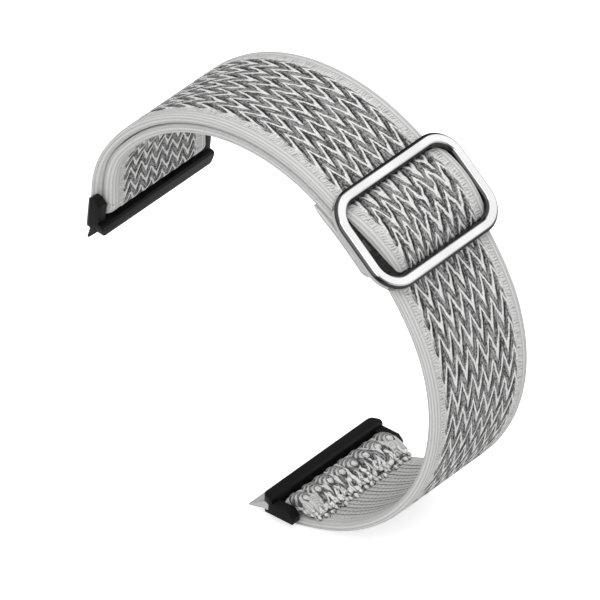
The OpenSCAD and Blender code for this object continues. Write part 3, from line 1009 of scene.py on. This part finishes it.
class STRAP_OT_slider_ring(bpy.types.Operator):
    """Finish the steel slider"""
    bl_idname = "strap.slider_ring"
    bl_label = "Slider Ring"

    RING_DEPTH = 1.85  # millimetres from the ring's face down to its underside, where its copy ends

    def execute(self, context):
        webbing, metal = settings()[:2]
        side = SideView(webbing)
        place = np.array([v.co for v in frame["nodes"]["slider_frame"].data.vertices])[:, ::2] / MM
        top = float(((place - side.slide) @ toward(side.slider_at)).max())
        across = toward(side.slider_at + 90)
        half = (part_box("slider_frame")[1][1] / MM, float(np.abs((place - side.slide) @ across).max()))
        steel = finish_once("mirror_steel", ring_finish, metal.steel, top, side.slide,
                            math.radians(side.slider_at), half)
        soften("slider_frame", metal.bevel, steel, "slider",
               drop=(side, top - self.RING_DEPTH))
        self.bar(side, webbing.width / 2 + 0.3)
        return {"FINISHED"}

    def bar(self, side, end):
        """The middle bar, with slim necks that rise from its ends to the ring."""
        out = toward(side.slider_at)
        middle = node_middle("slider_bar")
        parts = []
        neck = (3.6, 0.3, 1.6)
        for y, size, rise in ((0, (1.0, 2 * end - neck[1], 2.5), 0), (end, neck, 1.3), (-end, neck, 1.3)):
            bpy.ops.mesh.primitive_cube_add(
                size=1.0, location=spot(middle + rise * out, y),
                rotation=(0, -math.radians(side.slider_at), 0), scale=[c * MM for c in size])
            parts.append(bpy.context.active_object)
        obj = joined("steel_bar", parts)
        bevel_edges(obj, 0.15)
        give(obj, finish_once("satin_steel", steel_finish))
        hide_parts("slider_bar")
        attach(obj, "slider")


class STRAP_OT_connectors(bpy.types.Operator):
    """Finish the two connectors with their tongues and pins"""
    bl_idname = "strap.connectors"
    bl_label = "Connectors"

    def execute(self, context):
        metal = settings()[1]
        black = finish_once("black_coat", black_finish, metal.black)
        satin = finish_once("satin_steel", steel_finish)
        # The upper tongue takes steel painted near black as shade
        steel_in_shade = finish_once("dull_steel", steel_finish)
        for end, tongue in (("upper", steel_in_shade), ("lower", satin)):
            body = "connector_" + end
            soften(body, metal.bevel, black, body)
            soften("tongue_" + end, metal.bevel * 0.35, tongue, body)
            give(frame["nodes"]["pin_" + end], satin)
        return {"FINISHED"}


class STRAP_OT_stitches(bpy.types.Operator):
    """Sew the row of stitches across the loop's tail"""
    bl_idname = "strap.stitches"
    bl_label = "Stitches"

    COUNT = 14
    RAISED = 0.65  # millimetres that the tail lifts the stitches from the CAD row

    def execute(self, context):
        side = SideView(settings()[0])
        out = node_middle("seam_loop") - side.slide
        place = side.slide + out / np.linalg.norm(out) * (np.linalg.norm(out) + self.RAISED)
        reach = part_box("seam_loop")[1][1] / MM - 0.4
        obj = joined("thread_loop", [
            ball(place, reach * share, (0.26, 0.5, 0.26)) for share in np.linspace(-1, 1, self.COUNT)])
        give(obj, finish_once("sewing_thread", thread_finish))
        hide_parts("seam_loop")
        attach(obj, "slider")
        return {"FINISHED"}


class STRAP_OT_stage(bpy.types.Operator):
    """Set the pale floor, the soft lights and the camera"""
    bl_idname = "strap.stage"
    bl_label = "Stage"

    def execute(self, context):
        stage = settings()[2]
        scene = context.scene
        clear_selection()
        bpy.ops.mesh.primitive_plane_add(size=40.0, location=(0, 0, -0.00002))
        floor = context.active_object
        floor.name = "floor"
        give(floor, self.floor_finish())
        self.light_world(scene)
        self.lamp("roof", (-0.2, -0.2, 1.4), 2.4, 17.0)
        self.lamp("front", (0.6, -1.0, 0.9), 1.2, 9.0)
        self.lamp("ring_glow", (0.61, 0.74, 0.72), 1.3, 4.0)
        data = bpy.data.cameras.new("camera")
        data.sensor_width = 36.0
        data.lens = stage.scale * data.sensor_width * stage.distance / MM / 600
        data.clip_start, data.clip_end = 0.01, 100.0
        a, e = math.radians(stage.azimuth), math.radians(stage.elevation)
        back = Vector((math.sin(a) * math.cos(e), -math.cos(a) * math.cos(e), math.sin(e)))
        scene.camera = self.aimed(data, Vector(stage.aim) * MM + back * stage.distance, -back)
        scene.view_settings.view_transform = "Standard"
        return {"FINISHED"}

    def floor_finish(self):
        """Pale floor that glows a little to the camera."""
        finish = Finish("pale_floor")
        finish.done([0.9, 0.9, 0.9], 0.9)
        plain = finish.shader.outputs[0]
        glow = finish.add("ShaderNodeEmission", inputs={"Strength": 0.6})
        lit = finish.add("ShaderNodeAddShader", inputs={0: plain, 1: glow.outputs[0]})
        ray = finish.add("ShaderNodeLightPath").outputs["Is Camera Ray"]
        mix = finish.add("ShaderNodeMixShader", inputs={0: ray, 1: plain, 2: lit.outputs[0]})
        out = next(n for n in finish.tree.nodes if n.type == "OUTPUT_MATERIAL")
        finish.feed(out.inputs[0], mix.outputs[0])
        return finish.material

    def light_world(self, scene):
        """White to the camera and dimmer as a light."""
        world = bpy.data.worlds.new("studio")
        world.use_nodes = True
        scene.world = world
        world.node_tree.nodes.clear()
        nodes = Nodes(world.node_tree)
        ray = nodes.add("ShaderNodeLightPath").outputs["Is Camera Ray"]
        soft, white = [nodes.add("ShaderNodeBackground", inputs={0: (1, 1, 1), 1: strength}).outputs[0]
                       for strength in (0.28, 1.0)]
        mix = nodes.add("ShaderNodeMixShader", inputs={0: ray, 1: soft, 2: white})
        nodes.add("ShaderNodeOutputWorld", inputs={0: mix.outputs[0]})

    def lamp(self, name, place, size, power):
        """Round light that looks at the strap."""
        data = bpy.data.lights.new(name, "AREA")
        data.shape = "DISK"
        data.size = size
        data.energy = power
        self.aimed(data, place, Vector((0, 0, 0.03)) - Vector(place))

    def aimed(self, data, place, look):
        """A camera or a lamp at a place, looking along a direction."""
        obj = bpy.data.objects.new(data.name, data)
        bpy.context.scene.collection.objects.link(obj)
        obj.location = place
        obj.rotation_mode = "QUATERNION"
        obj.rotation_quaternion = look.to_track_quat("-Z", "Y")
        return obj


class STRAP_PT_panel(bpy.types.Panel):
    bl_label = "Watch Strap"
    bl_idname = "STRAP_PT_panel"
    bl_space_type = "VIEW_3D"
    bl_region_type = "UI"
    bl_category = "Watch Strap"

    def draw(self, context):
        for group in settings():
            for prop in group.bl_rna.properties:
                if prop.identifier not in ("rna_type", "name"):
                    self.layout.prop(group, prop.identifier)
        for operator in OPERATORS:
            self.layout.operator(operator.bl_idname)


OPERATORS = (STRAP_OT_webbing, STRAP_OT_tab, STRAP_OT_slider_webbing, STRAP_OT_slider_ring,
             STRAP_OT_connectors, STRAP_OT_stitches, STRAP_OT_stage)
GROUPS = {"strap_webbing": WebbingSettings, "strap_metal": MetalSettings, "strap_stage": StageSettings}


def classes():
    return (*GROUPS.values(), *OPERATORS, STRAP_PT_panel)


def register():
    for part in classes():
        bpy.utils.register_class(part)
    for name, group in GROUPS.items():
        setattr(bpy.types.Scene, name, bpy.props.PointerProperty(type=group))


def unregister():
    for name in GROUPS:
        delattr(bpy.types.Scene, name)
    for part in reversed(classes()):
        bpy.utils.unregister_class(part)


def main():
    register()
    bpy.ops.strap.webbing()
    bpy.ops.strap.tab()
    bpy.ops.strap.slider_webbing()
    bpy.ops.strap.slider_ring()
    bpy.ops.strap.connectors()
    bpy.ops.strap.stitches()
    bpy.ops.strap.stage()


if __name__ == "__main__":
    main()
